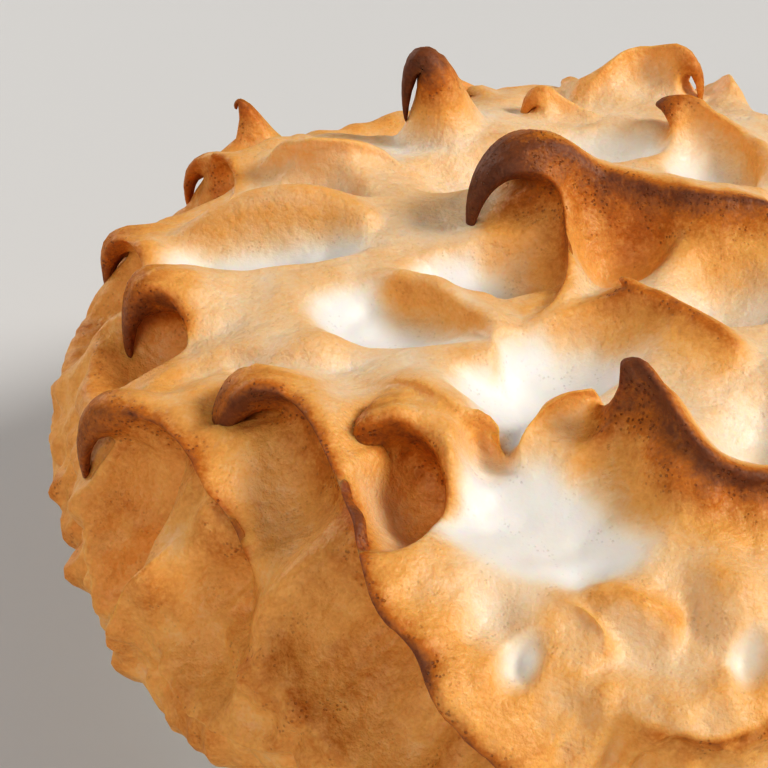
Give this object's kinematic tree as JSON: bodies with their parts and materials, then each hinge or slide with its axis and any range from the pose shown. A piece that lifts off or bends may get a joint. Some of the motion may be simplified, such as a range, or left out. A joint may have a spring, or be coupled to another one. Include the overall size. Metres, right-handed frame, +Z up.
{
  "type": "lemon meringue pie",
  "caption": "Whole lemon meringue pie in its own plain round dish: fluted pastry crust under a tall, browned meringue pulled up into crests and curling hooks.",
  "frame": {"origin": "centre of the dish's flat base, on the surface that the pie stands on", "axes": "+Z up; the view that the meringue's crests were shaped for looks along +Y, with +X to its right"},
  "size_m": [0.2692, 0.2717, 0.1353],
  "materials": {
    "dish glaze": "smooth cream-white glazed stoneware",
    "baked pastry": "dry golden-brown shortcrust pastry",
    "baked meringue": "satin baked meringue, white in the hollows, tan on the slopes and dark brown on the crests"
  },
  "bodies": {
    "root": {"dish": "dish glaze", "crust": "baked pastry", "meringue": "baked meringue"}
  },
  "joints": []
}
